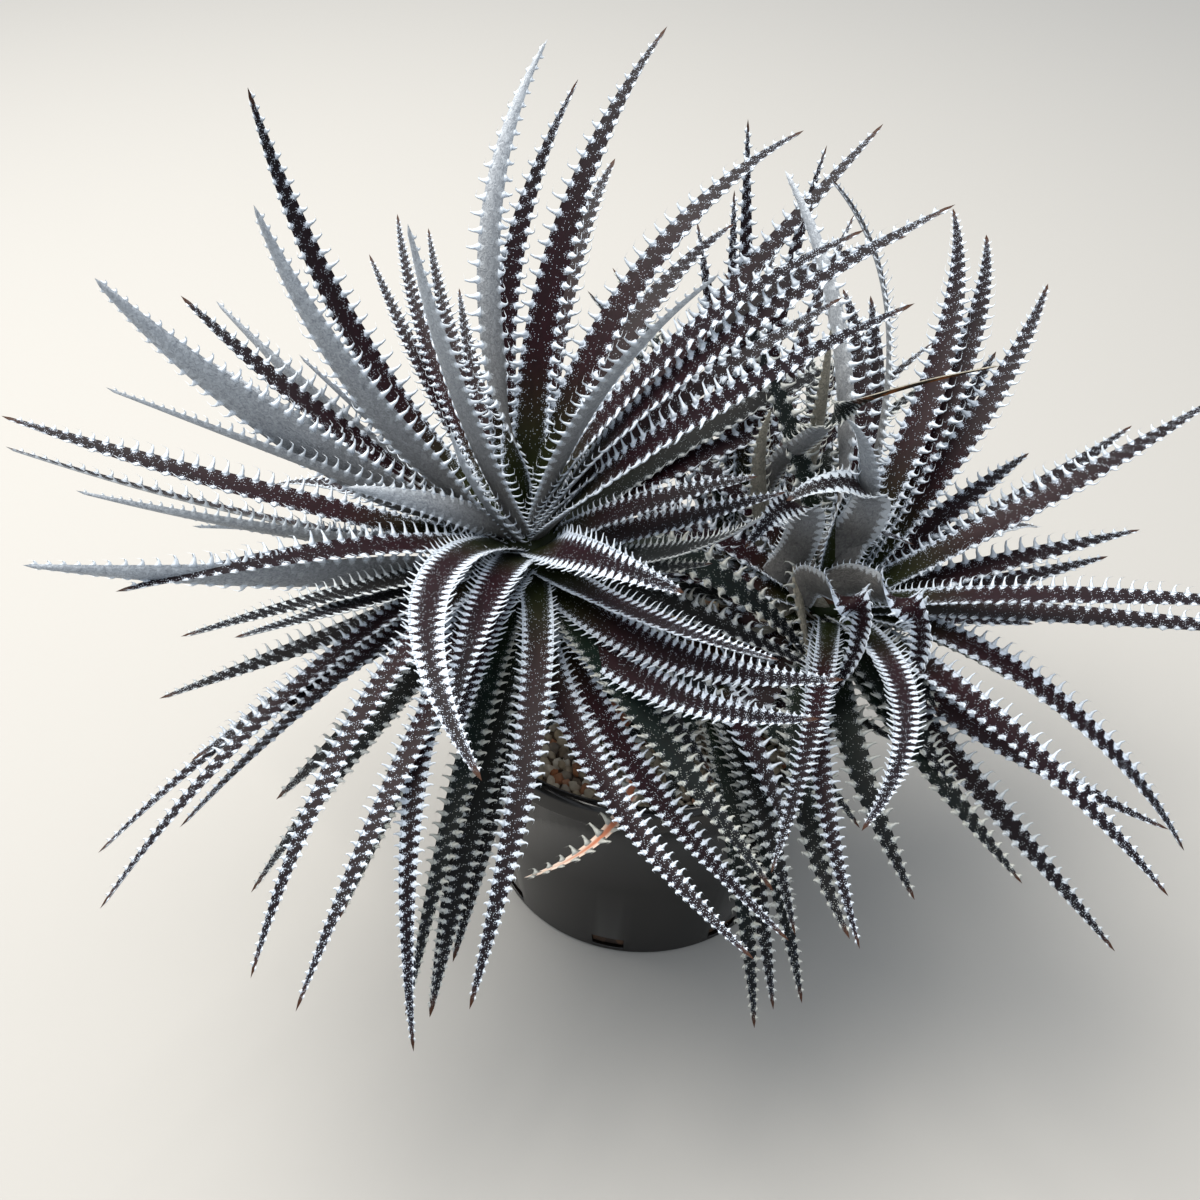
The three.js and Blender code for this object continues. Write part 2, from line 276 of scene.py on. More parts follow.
rng = random.Random(7)
shape = bmesh.new()
tints = shape.verts.layers.float_color.new("grain")
painted_shade_bed = bmesh.ops.create_cone(
    shape,
    cap_ends=True,
    segments=96,
    radius1=GRAVEL_EDGE * MM,
    radius2=GRAVEL_EDGE * MM,
    depth=(GRAVEL_BED - GRAVEL_FLOOR) * MM,
    matrix=Matrix.Translation((0, 0, (GRAVEL_BED + GRAVEL_FLOOR) / 2 * MM)),
)
# The bed takes the colour of a dark grain: painted shade in the gaps between the grains.
for vertex in painted_shade_bed["verts"]:
    vertex[tints] = (0, 1, 0, 1)
row_height = GRAIN_PITCH * math.sqrt(3) / 2
rows = int(GRAVEL_EDGE / row_height)
for row in range(-rows, rows + 1):
    grains = bmesh.new()
    layer = grains.verts.layers.float_color.new("grain")
    columns = int(GRAVEL_EDGE / GRAIN_PITCH) + 1
    for column in range(-columns, columns + 1):
        x = (column + (row % 2) / 2) * GRAIN_PITCH + rng.uniform(-GRAIN_JITTER, GRAIN_JITTER)
        y = row * row_height + rng.uniform(-GRAIN_JITTER, GRAIN_JITTER)
        radius = rng.uniform(*GRAIN_RADII)
        height = GRAVEL_LEVEL + rng.uniform(-GRAIN_SINK, GRAIN_SINK)
        tint = (rng.random(), rng.random(), rng.random(), 1)
        spin = [rng.uniform(0, math.pi) for _ in range(3)]
        flatness = rng.uniform(*GRAIN_FLATNESS)
        if math.hypot(x, y) > GRAVEL_EDGE - radius:
            continue
        if any(math.hypot(x - a, y - b) < r for a, b, r in STEMS):
            continue
        turn = Matrix.Rotation(spin[0] / 4, 4, "X") @ Matrix.Rotation(spin[1] / 4, 4, "Y")
        turn = turn @ Matrix.Rotation(spin[2], 4, "Z")
        scale = [radius * share * MM for share in (GRAIN_LONG, GRAIN_SHORT, flatness)]
        place = Matrix.Translation((x * MM, y * MM, height * MM))
        place = place @ turn @ Matrix.Diagonal((*scale, 1))
        grain = bmesh.ops.create_icosphere(grains, subdivisions=2, radius=1)
        for vertex in grain["verts"]:
            lump = noise.noise(vertex.co * LUMP_SCALE + Vector((x, y, height)))
            vertex.co *= 1 + LUMP_HEIGHT * lump
            vertex[layer] = tint
        bmesh.ops.transform(grains, matrix=place, verts=grain["verts"])
    pour(grains, shape)

# River grit, quartz and sandstone, worn smooth and dry: matt, with a fine mottle. Each grain has
# a colour of its own: most are cream or tan, some dark brown and a few rusty.
grit, tree, shader = new_material("dry_river_grit")
grain = add(tree, "Attribute", {}, attribute_name="grain")
draws = add(tree, "SeparateColor", {0: grain})
coordinates = add(tree, "TexCoord", {}).outputs["Object"]
mottle = add(tree, "TexNoise", {"Vector": coordinates, "Scale": 1 / (1.6 * MM), "Detail": 4})
cream = add(
    tree,
    "Mix",
    {FACTOR: draws.outputs["Red"], FIRST: "#b3a184", SECOND: "#e8e0d0"},
    data_type="RGBA",
)
# Dark brown for the dark grains, and for the bed between the grains as painted shade
dark_grains_and_gap_shade = add(
    tree,
    "MapRange",
    {"Value": draws.outputs["Green"], "From Min": 0.72, "From Max": 0.95, "To Max": 0.8},
)
mixed = add(tree, "Mix", {FACTOR: dark_grains_and_gap_shade, FIRST: cream, SECOND: "#4c3a2f"}, data_type="RGBA")
rusty = add(
    tree,
    "MapRange",
    {"Value": draws.outputs["Blue"], "From Min": 0.88, "From Max": 0.94, "To Max": 0.8},
)
sorted_grains = add(tree, "Mix", {FACTOR: rusty, FIRST: mixed, SECOND: "#b56a3a"}, data_type="RGBA")
stain = add(tree, "MapRange", {"Value": mottle, "From Min": 0.35, "From Max": 0.75, "To Max": 0.3})
grit_colour = add(
    tree, "Mix", {FACTOR: stain, FIRST: sorted_grains, SECOND: "#9a8266"}, data_type="RGBA"
)
pitted = add(tree, "Bump", {"Height": mottle, "Strength": 0.4, "Distance": 0.3 * MM})
feed(tree, shader, {"Base Color": grit_colour, "Roughness": 0.8, "Normal": pitted})
place_piece("grit_dressing", shape, [grit], "gravel_dressing")

# Leaves: each rosette is a spiral of stiff, channelled succulent leaves with a keel beneath. The
# upper skin is maroon over green with lines of white scales, and white where a spine springs
# from the margin. The underside is felted silver grey.
# One row a leaf: bearing, rise, droop, sweep (degrees), length (mm), and what isn't usual of it:
# its roll, how green it is (0 to 1), its width for its head, the share of it from which it has
# dried, the scale of its comb of spines, and how frosted its margins are (0 to about 1.5).
USUAL = {"roll": 0, "green": 0, "width": 1, "dried_from": 2, "comb": 1, "frost": 0}
STRAIGHT = (0, 0, 1)  # the twist of a leaf that doesn't
AGE_DROP = 14  # how far below the heart a level leaf starts
NECK = 0.05  # how much narrower a leaf is at its root, over this share of its length
NECK_LENGTH = 0.25
TAPER = 0.92
TAPER_POWER = 2.7
ROLL_LENGTH = 0.4  # share of the leaf along which its roll builds up
BLADE_DEPTH = 2.8
TIP_DEPTH = 0.8
KEEL_POWER = 2.2
CHANNEL = 1.0  # depth of the channel along the upper face
CHANNEL_LOSS = 0.6  # how much shallower it is at the tip
BLADE_SIDES = 12
STATION = 3.2  # spacing of the rings along a blade
CURLED_STATION = STATION / 1.5
FEWEST_STATIONS = 20
TONE_SPREAD = 0.12  # how much the leaves of a head differ in redness, and in frost
FROST_SPREAD = 0.3
WITHERED = 0.62  # how much narrower a leaf is where it has dried
SPINE_FROM = 0.05  # share of the leaf, from its root, that has no spines
ROOT_PITCH = 2.8  # spacing of the spines, which grows along the leaf and shrinks at its tip
PITCH_GROWTH = 3.0
PITCH_LOSS = 1.6
STAGGER = 0.31  # how far the spines of each margin are out of step, as a share of the spacing
NEXT_LEAF = 400  # the skin's patterns start this much further along on each leaf, in millimetres

MAIN_LEAVES = [
    (14, 8, 42, 8, 148),  # low leaves behind
    (66, 6, 40, -6, 165),
    (100, 8, 46, 6, 165),
    (146, 6, 40, -8, 172),
    (32, 48, 15, 5, 216),  # long leaves to the right and behind
    (34, 57, 60, -4, 210),
    (48, 78, 70, -10, 205),
    (60, 58, 55, -10, 172),
    (88, 55, 38, -20, 178),
    (95, 74, 32, -58, 205),
    (127.1, 59.8, 4.4, -93.6, 183.7, {"width": 0.85}),
    (117, 33, 10, -17, 127, {"width": 0.65, "comb": 0.7}),
    (119, 30, 12, -18, 169, {"width": 0.65, "comb": 0.7}),
    (128, 28, 8, -13, 161, {"width": 0.65, "comb": 0.7}),
    (130, 34, 17, -30, 176, {"width": 0.65, "comb": 0.7}),
    (156, 34, -40, -15, 206),
    (195, 46, -30, 5, 182, {"roll": 75, "width": 0.88}),  # left, grey underside turned up
    (190, 30, -29, 10, 199, {"roll": 92, "width": 1.15}),
    (176, 33, 4, -28, 169),
    (167, 28, -8, -17, 158, {"roll": 82}),
    (165, 36, -2, -6, 118, {"roll": 60}),
    (173, 29, 1, -11, 144, {"roll": 85, "width": 0.6, "comb": 0.8}),
    (194, 21, 27, -20, 135, {"roll": 60, "width": 0.5, "comb": 0.7}),
    (205, 40, 19, -30, 174, {"roll": 58, "width": 0.7, "comb": 0.75}),
    (196, 25, 16, -31, 210),
    (190, 13, -5, -15, 204, {"roll": 30}),
    (207, 21, 2, -23, 175, {"roll": 70, "green": 0.3, "width": 0.7, "comb": 0.7}),
    (226, 22, 2, -27, 199, {"roll": 85}),
    (228, 38, 40, -25, 173),
    # short young leaves at the heart
    (215.9, 50.8, 33.4, -23, 87.3, {"roll": 120, "width": 0.8, "comb": 0.7}),
    (215, 52, -25, 0, 75),
    (290, 42, 30, 25, 120, {"roll": 38, "width": 1.1, "comb": 0.75, "frost": 0.9}),
    (228, 65, -14, 3, 164),
    (153.1, 80.1, 31.8, -112.3, 193.1, {"roll": -160, "width": 0.76}),
    # right, reaching over the other heads
    (318, 74, 27, 0, 173, {"roll": -15, "width": 0.7}),
    (329, 65, 39, 50, 166, {"roll": 22, "width": 0.9, "frost": 0.5}),
    (330, 66, 33, 27, 220, {"roll": 25, "width": 0.88, "frost": 0.5}),
    (341, 73, 40, 8, 193, {"roll": 28, "width": 0.88, "frost": 0.4}),
    (320, 57, 20, 22, 204, {"roll": 35, "width": 0.88, "frost": 0.3}),
    (345, 41, 22, 7, 103, {"roll": 10, "comb": 0.6}),
    (344, 27, 0, 5, 112, {"roll": 10, "comb": 0.62}),
    (328, 14, -10, 12, 84, {"green": 1, "comb": 0.6}),
    (293, -4, -39, 30, 175, {"roll": 28, "comb": 0.75, "frost": 0.8}),
    (300, 4, -30, 22, 176, {"roll": 28, "comb": 0.75, "frost": 0.5}),
    (304, 16, -10, 5, 156, {"roll": -10, "comb": 0.72, "frost": 0.4}),
    (231, 42, 55, 72, 189, {"width": 1.12, "comb": 0.74, "frost": 1.1}),  # front
    (258, 36, 45, 8, 140, {"comb": 0.7, "frost": 0.5}),
    (255, 21, 22, 15, 130, {"comb": 0.7, "frost": 0.4}),
    (277, -9, -5, 37, 196, {"width": 0.85, "comb": 0.68, "frost": 0.3}),
    (289, -12, -10, 22, 192, {"width": 0.85, "comb": 0.68, "frost": 0.3}),
    (296, 5, 20, 9, 178, {"green": 1, "comb": 0.8}),
    (236, 28, 60, -4, 225, {"roll": 12, "width": 0.68, "comb": 0.75}),
    (226, 12, 38, -4, 202, {"roll": 12, "width": 0.68, "comb": 0.75}),
    (237, 20, 38, -5, 185, {"roll": 12, "width": 0.66, "comb": 0.7}),
    (232, 26, 10, -5, 168, {"green": 0.6, "width": 0.8, "comb": 0.7}),
    (230, 20, -6, 10, 160, {"green": 0.6, "width": 0.8, "comb": 0.7}),
    (226, 10, 4, -8, 162, {"green": 0.5, "width": 0.85, "comb": 0.8}),
    (228, 6, 15, -7, 158),
    (243, 29, 69, 10, 219, {"width": 0.66, "comb": 0.72}),
    (245, 11, 36, -8, 180, {"green": 0.7, "width": 0.75, "comb": 0.75}),
    (235, -5, 13, -9, 140, {"green": 0.8}),
    (257, 22, 57, -9, 218, {"width": 0.66, "comb": 0.7}),
    (246, 27, 83, 34, 225, {"width": 0.7, "comb": 0.64, "frost": 0.6}),
    (265, -3, 32, -7, 188, {"green": 0.8, "width": 0.85, "comb": 0.68}),
    (281, 16, 60, -30, 198, {"green": 0.15, "width": 0.85, "comb": 0.7, "frost": 0.3}),
    (261, -5, 38, -1, 186, {"green": 0.9, "width": 0.85, "comb": 0.68}),
    (270, -9, 18, -14, 167, {"green": 0.8, "width": 0.85, "comb": 0.68}),
    (338, 3, 28, 10, 125, {"green": 0.6}),  # low, towards the other heads
    (352, -5, 22, 0, 112, {"green": 1}),
    (8, -8, 28, 0, 130, {"green": 0.8}),
    (30, 30, 30, 0, 178, {"green": 0.8}),
    (24, 30, 35, 0, 150),
    (322, -6, 25, 12, 120, {"green": 0.7}),
    (333, -14, 18, 5, 122, {"green": 1}),
    (312, -5, 25, 0, 115, {"green": 0.9}),
    (250, 4, 30, 0, 170, {"green": 1, "width": 0.8, "comb": 0.75}),
    (262, 8, 45, -4, 196, {"green": 1, "width": 0.7, "comb": 0.75}),
    (239, 2, 20, 0, 150, {"green": 1, "width": 0.8, "comb": 0.75}),
    (334, 18, -35, -32, 139, {"roll": 10, "green": 0.8, "comb": 0.6}),
]
RIGHT_LEAVES = [
    (70, 10, 44, 6, 165),  # low leaves behind
    (40, 8, 42, 5, 170),
    (82, 8, 40, 5, 120),
    (42, 56, 45, 49, 194),  # behind
    (38, 52, 43, 46, 191),
    (32, 41, 23, 35, 176),
    (46, 38, 18, 11, 136),
    (70, 73, 70, 29, 142),
    (64, 49, 22, 31, 136),
    (223, 116, 73, -4, 197, {"roll": -48, "width": 0.7, "comb": 0.8}),
    (82, 84, 47, 46, 172, {"roll": 104}),
    (21, 21, 11, 17, 161),  # right
    (6, 32, 17, 25, 180),
    (32, 28, 23, 9, 117),
    (358, 25, 19, 16, 129),
    (13, 2, 2, 9, 132),
    (322, 36, 24, 17, 185, {"comb": 0.82}),
    (325, 29, 23, 20, 185, {"comb": 0.82}),
    (353, 9, 19, 9, 85),
    (320, 30, 78, 0, 176, {"comb": 0.84, "frost": 0.5}),  # front
    (303, 20, 45, 8, 176, {"comb": 0.84, "frost": 0.5}),
    (310, -8, -12, 14, 155, {"comb": 0.84}),
    (301, -5, 14, 6, 170, {"green": 0.4, "comb": 0.84}),
    (290, -5, 10, 15, 135, {"green": 1}),
    (295, 0, 20, 5, 98, {"green": 1}),
    (268, -8, 10, 25, 128, {"green": 0.9}),
    (262, 20, 36, -12, 148, {"width": 0.7, "comb": 0.6}),
    (253, 11, 36, 32, 158, {"width": 0.72, "comb": 0.65}),
    (246, -4, 3, 43, 154, {"green": 1}),
    (296, 24, 18, -60, 168, {"width": 0.9, "comb": 0.68, "frost": 0.6}),
    (213, 124, 83, 12, 92, {"comb": 0.7}),
    (170, 20, 40, 0, 100),  # low, towards the other heads
    (150, 25, 40, 0, 110),
    (192, 10, 35, 0, 92),
    (212, 2, 25, 6, 84),
    (130, 32, 40, 0, 120),
    (232, -4, 15, 8, 96),
    (300, 26, 50, 0, 72, {"green": 1}),
    (330, 24, 50, 0, 80, {"green": 1}),
    (90, 30, 30, 0, 150, {"green": 0.8}),
    (122, 66, 34, 0, 140, {"green": 1, "width": 0.8}),
]
BACK_LEAVES = [
    (101, 74, 10, -7, 182),
    (84, 70, 16, -24, 176),
    (116, 72, 32, -14, 146),
    (104, 64, 12, -14, 157),
    (70, 60, 25, -10, 160),
    (90, 56, 29, -14, 154),
    (70, 34, 30, 5, 140),
    (112, 30, 34, 5, 90),
    (148, 32, 30, 5, 95),
    (30, 30, 30, 5, 95),
    (296, 30, 30, 0, 82, {"green": 1}),  # low, between the two large heads
    (262, 40, 50, 0, 82),
    (232, 42, 45, 0, 90),
    (204, 40, 40, 8, 95),
    (180, 45, 40, 10, 100),
    (335, 45, 45, 0, 85),
    (2, 50, 40, 0, 95),
    (160, 55, 30, 0, 110),
    (46, 62, 30, 0, 120),
    (20, 66, 40, 10, 125),
    (318, 62, 60, 0, 100),
    (45, 30, 30, 0, 150, {"green": 1}),
    (105, 30, 30, 0, 150, {"green": 1}),
    (120, 50, 30, 0, 150, {"green": 1}),
    (148, 66, 30, 0, 135, {"green": 0.8}),
]
FRONT_LEAVES = [
    (277, 16, 68, 0, 154, {"green": 1, "comb": 0.75}),
    (280, 14, 60, 0, 147, {"green": 0.8, "comb": 0.75}),
    (284, 16, 60, 0, 148, {"green": 1, "comb": 0.75}),
    (283, 24, 55, 0, 132, {"green": 0.6, "comb": 0.75}),
    (285, 30, 45, 0, 105),
    (322, 20, 30, 0, 60),
    (258, 18, 40, 0, 82, {"green": 1}),  # short ones round its heart
    (236, 22, 40, 0, 72, {"green": 0.9}),
    (208, 20, 40, 0, 78, {"green": 1}),
    (178, 18, 40, 0, 75, {"green": 0.9}),
    (140, 24, 40, 0, 70, {"green": 1}),
    (96, 26, 40, 0, 68, {"green": 0.8}),
    (54, 22, 40, 0, 75, {"green": 1}),
    (20, 16, 40, 0, 84, {"green": 1}),
    (338, 16, 40, 0, 88, {"green": 0.9}),
    (306, 18, 40, 0, 98, {"green": 1}),
]
# A head: its heart, where its stem starts in the mix, the radii of its stem and of its crown of
# leaf bases, half the width of its leaves, and its leaves.
HEADS = [
    {
        "name": "main",
        "heart": (-50, 15, 168),
        "foot": (-38, 12, 60),
        "stem_radius": 9,
        "crown_radius": 22,
        "half_width": 7.2,
        "leaves": MAIN_LEAVES,
    },
    {
        "name": "right",
        "heart": (74, 10, 147),
        "foot": (54, 8, 60),
        "stem_radius": 8,
        "crown_radius": 14,
        "half_width": 6.6,
        "leaves": RIGHT_LEAVES,
    },
    {
        "name": "back",
        "heart": (42, 60, 128),
        "foot": (34, 46, 60),
        "stem_radius": 5,
        "crown_radius": 8,
        "half_width": 4.4,
        "leaves": BACK_LEAVES,
    },
    {
        "name": "front",
        "heart": (22, -8, 126),
        "foot": (20, -4, 60),
        "stem_radius": 6,
        "crown_radius": 13,
        "half_width": 5.6,
        "leaves": FRONT_LEAVES,
    },
]

# Curled leaves: a dying or a young leaf that twists as it bends. The places in millimetres that
# its midrib passes, the way its upper face looks at the root, how many degrees it twists between
# which shares of its length, half its width, and what isn't usual of it.
CURLED = [
    {
        "head": "right",  # the tall young leaf that curls over to the left
        "through": [(67, 16, 148), (76, 15, 166), (81, 10, 182), (83, 11, 192), (79, 11, 198),
                    (71, 9, 202), (59, 5, 202), (49, 1, 198)],
        "facing": (0.27, 0.95, -0.1), "twist": (-82, 0.38, 0.62),
        "half_width": 9, "green": 0.3, "comb": 0.65, "frost": 1.5,
    },
    {
        "head": "right",  # its shorter neighbour
        "through": [(52, 16, 148), (57, 15, 160), (59, 11, 175), (59, 9, 187), (54, 7, 193),
                    (47, -1, 196), (41, -9, 195), (33, -16, 188)],
        "facing": (0.2, 0.95, -0.1), "twist": (-82, 0.42, 0.66),
        "half_width": 7.6, "green": 0.3, "comb": 0.65, "frost": 1,
    },
    {
        "head": "back",  # the leaf that has withered to a brown thread at its end
        "through": [(42, 60, 128), (44, 56, 152), (50, 46, 182), (60, 30, 208), (67, 20, 225),
                    (75, 13, 236), (96, 8, 248), (118, 3, 258)],
        "facing": (0, 0.5, -0.85), "twist": (180, 0.42, 0.66),
        "half_width": 4.8, "green": 0.9, "comb": 0.6, "dried_from": 0.66,
    },
    {
        "head": "back",  # two old leaves that stand up and show their undersides
        "through": [(61, 42, 135), (62, 46, 165), (63, 39, 200), (63, 35, 228), (62, 31, 255)],
        "facing": (-0.3, 0.9, -0.2),
        "half_width": 4, "green": 1, "dried_from": -1, "comb": 0.9,
    },
    {
        "head": "back",
        "through": [(50, 40, 136), (47, 43, 155), (43, 41, 178), (42, 38, 200), (44, 36, 216)],
        "facing": (-0.3, 0.9, -0.2),
        "half_width": 4.2, "green": 1, "dried_from": -1, "comb": 0.85,
    },
    {
        "head": "right",  # two that fold over at the front
        "through": [(60, 6, 146), (63, 2, 158), (69, -12, 166), (75, -21, 168), (79, -25, 165),
                    (79, -27, 158), (78, -29, 148), (74, -32, 137), (67, -38, 124)],
        "facing": (0.5, 0.75, -0.45), "twist": (180, 0.22, 0.52),
        "half_width": 7.4, "comb": 0.62, "frost": 1.1,
    },
    {
        "head": "right",
        "through": [(70, 9, 147), (79, 3, 158), (88, -11, 166), (94, -22, 170), (99, -30, 168),
                    (101, -33, 160), (101, -35, 150), (98, -37, 140), (94, -41, 131)],
        "facing": (0.5, 0.75, -0.45), "twist": (180, 0.22, 0.52),
        "half_width": 7, "comb": 0.68, "frost": 1.1,
    },
    {
        "head": "right",  # two old leaves that show their undersides below them
        "through": [(66, 26, 146), (60, 14, 153), (59, 4, 150), (61, -6, 142), (64, -15, 130)],
        "facing": (0, 0.755, -0.656),
        "half_width": 5.2, "green": 1, "dried_from": -1, "comb": 0.8,
    },
    {
        "head": "right",
        "through": [(68, 22, 136), (58, 11, 136), (47, 1, 134), (38, 0, 129), (28, 3, 120)],
        "facing": (0, 0.755, -0.656),
        "half_width": 4.8, "green": 1, "dried_from": -1, "comb": 0.7,
    },
    {
        "head": "main",  # the wide green leaf that dips between the two large heads
        "through": [(-47, 15, 158), (-22, 15, 163), (0, 11, 166), (17, 7, 162), (37, 0, 152),
                    (53, -6, 141), (65, -12, 127)],
        "facing": (0, -0.3, 1),
        "half_width": 7.4, "green": 1, "comb": 1.05, "frost": 0.5,
    },
]


def ease(value, low, high):
    """0 below low, 1 above high, and a smooth step between."""
    t = min(1, max(0, (value - low) / (high - low)))
    return t * t * (3 - 2 * t)


def traits(row):
    """What a row says of its leaf beside its course, with the rest as usual."""
    return {**USUAL, **(row[5] if len(row) > 5 else {})}


def midrib(start, row, steps):
    """Stations along a leaf's midrib: place, way to the tip, way to the left margin, way up."""
    bearing, rise, droop, sweep, length = row[:5]
    roll = traits(row)["roll"]
    place = Vector(start) * MM
    stations = []
    for i in range(steps + 1):
        ways = []
        for s in (i / steps, (i + 0.5) / steps):
            turn = math.radians(bearing + sweep * s)
            climb = math.radians(rise - droop * s)
            flat = math.cos(climb)
            ways.append(Vector((math.cos(turn) * flat, math.sin(turn) * flat, math.sin(climb))))
        turn = math.radians(bearing + sweep * i / steps)
        left = Vector((-math.sin(turn), math.cos(turn), 0))
        rolled = math.radians(roll) * ease(i / steps, 0, ROLL_LENGTH)
        left.rotate(Matrix.Rotation(rolled, 3, ways[0]))
        stations.append((place.copy(), ways[0], left, ways[0].cross(left)))
        place += ways[1] * (length / steps * MM)
    return stations


def curled_midrib(places, facing, twist, steps):
    """Stations in the form that midrib gives, on a smooth course through the places."""
    knots = [Vector(place) * MM for place in places]
    knots = [2 * knots[0] - knots[1], *knots, 2 * knots[-1] - knots[-2]]
    spans = len(places) - 1
    points = []
    for i in range(steps + 1):
        span = min(i * spans // steps, spans - 1)
        t = i * spans / steps - span
        a, b, c, d = knots[span : span + 4]
        bend = (2 * a - 5 * b + 4 * c - d) * t**2 + (3 * b - a - 3 * c + d) * t**3
        points.append((2 * b + (c - a) * t + bend) / 2)
    up = Vector(facing)
    stations = []
    for i in range(steps + 1):
        along = (points[min(i + 1, steps)] - points[max(i - 1, 0)]).normalized()
        up = (up - along * up.dot(along)).normalized()
        turned = up.copy()
        angle = math.radians(twist[0]) * ease(i / steps, twist[1], twist[2])
        turned.rotate(Matrix.Rotation(angle, 3, along))
        stations.append((points[i], along, turned.cross(along), turned))
    return stations


def half_width_at(s, half_width):
    """Half a blade's width: a neck at its root, then nearly even, then a long point."""
    neck = NECK * max(0, 1 - s / NECK_LENGTH)
    return half_width * (1 - neck - TAPER * s**TAPER_POWER)


def spine_pitch(s):
    """Spacing of the spines: close as a comb at the root, wide along the middle."""
    return ROOT_PITCH + PITCH_GROWTH * ease(s, 0.08, 0.42) - PITCH_LOSS * ease(s, 0.72, 1)


def leaf_shape():
    """A new bmesh with the layers that the skins of a leaf read."""
    shape = bmesh.new()
    shape.verts.layers.float_vector.new("course")
    shape.verts.layers.float_color.new("leaf")
    shape.verts.layers.float.new("frost")
    return shape


def tube(part, sides, radius, steps):
    """Adds a closed tube along +Z, with a ring at each whole height from 0 to the steps."""
    ring = bmesh.ops.create_circle(part, cap_ends=True, segments=sides, radius=radius)["verts"]
    bmesh.ops.spin(
        part,
        geom=ring + part.edges[:],
        cent=(0, 0, 0),
        axis=(0, 0, 1),
        dvec=(0, 0, 1),
        angle=0,
        steps=steps,
    )


def blade(shape, stations, length, half_width, tone, number, looks, depth=BLADE_DEPTH):
    """Adds one blade along its stations. Returns the count of spines from the root to each."""
    steps = len(stations) - 1
    dried_from, comb = looks["dried_from"], looks["comb"]
    count = [0]
    for i in range(steps):
        count.append(count[-1] + length / steps / (spine_pitch((i + 0.5) / steps) * comb))
    part = leaf_shape()
    course = part.verts.layers.float_vector["course"]
    life = part.verts.layers.float_color["leaf"]
    frost = part.verts.layers.float["frost"]
    tube(part, BLADE_SIDES, 1, steps)
    tip = []
    for vertex in part.verts:
        across, height, i = vertex.co.x, vertex.co.y, round(vertex.co.z)
        s = i / steps
        place, _, left, up = stations[i]
        half = half_width_at(s, half_width)
        if dried_from > 0:
            half *= 1 - WITHERED * ease(s, dried_from - 0.04, dried_from + 0.1)
        if height > -0.01:
            drop = CHANNEL * (1 - across**2) * (1 - CHANNEL_LOSS * s) * min(1, half / half_width)
        else:
            drop = (depth + (TIP_DEPTH - depth) * s) * (1 - abs(across) ** KEEL_POWER)
        if abs(across) > 0.99:
            drop = 0
        if i == steps:
            half, drop = 0, 0
            tip.append(vertex)
        vertex.co = place + left * (across * half * MM) - up * (drop * MM)
        phase = STAGGER * (1 if across > 0.2 else -1 if across < -0.2 else 0)
        vertex[course] = (s * length + NEXT_LEAF * number, across * half, count[i] + phase)
        vertex[life] = (tone, s, ease(s, dried_from, dried_from + 0.08), half * (1 - abs(across)))
        vertex[frost] = looks["frost"]
    bmesh.ops.pointmerge(part, verts=tip, merge_co=stations[-1][0])
    bmesh.ops.recalc_face_normals(part, faces=part.faces)
    part.normal_update()
    for face in part.faces:
        middle = face.calc_center_median()
        nearest = min(stations, key=lambda station: (station[0] - middle).length_squared)
        face.material_index = 0 if face.normal.dot(nearest[3]) > 0 else 1
    for edge in part.edges:
        if len({face.material_index for face in edge.link_faces}) > 1:
            edge.smooth = False
    pour(part, shape)
    return count


# Spines: hard white hooks that grow from the margins, flared at the base like a shark's tooth,
# thin, and curled like a claw, up out of the plane of the leaf and towards its tip.
SPINE_SIDES = 4
SPINE_REACH = (-0.2, 0.12, 0.46, 0.76, 0.8)  # rings from sunk in the margin to the point
SPINE_RISE = (0.0, 0.0, 0.07, 0.22, 0.44)  # out of the leaf's plane, both as shares of the length
SPINE_WIDTH = (1.35, 0.62, 0.34, 0.24, 0.0)  # along the margin, as a share of the base
SPINE_HOOK = (0.0, -0.02, -0.06, 0.1, 0.95)  # how far each ring leans to the leaf's tip
SPINE_THICK = (0.24, 0.19, 0.14, 0.09, 0.0)
SPINE_LENGTH = 5.5
LENGTH_SPREAD = (0.85, 1.12)
ROOT_LENGTH = 0.5  # share of it that the spines nearest the root have
LENGTH_LOSS = 0.74  # how much shorter they are at the tip
BASE_SPREAD = (0.5, 0.6)  # the spine's base, as a share of the spacing
BASE_GROWTH = 0.15
SPINE_TILT = 22  # degrees out of the plane of the leaf
TILT_SPREAD = 12
LEAN_SPREAD = 0.14
SPINE_UNTIL = 0.985


def spine_template():
    """One spine of unit length: +X out of the margin, +Y to the leaf's tip, +Z up from its face."""
    part = bmesh.new()
    life = part.verts.layers.float_color.new("spine")
    steps = len(SPINE_REACH) - 1
    tube(part, SPINE_SIDES, 0.5, steps)
    tip = []
    for vertex in part.verts:
        i = round(vertex.co.z)
        along, through = vertex.co.y, vertex.co.x
        vertex.co = (
            SPINE_REACH[i],
            SPINE_HOOK[i] + along * SPINE_WIDTH[i],
            SPINE_RISE[i] + through * SPINE_THICK[i],
        )
        vertex[life] = (0, max(0, SPINE_REACH[i]), 0, 1)
        if i == steps:
            tip.append(vertex)
    bmesh.ops.pointmerge(part, verts=tip, merge_co=tip[0].co.copy())
    mesh = bpy.data.meshes.new("spine")
    part.to_mesh(mesh)
    part.free()
    return mesh


template = spine_template()


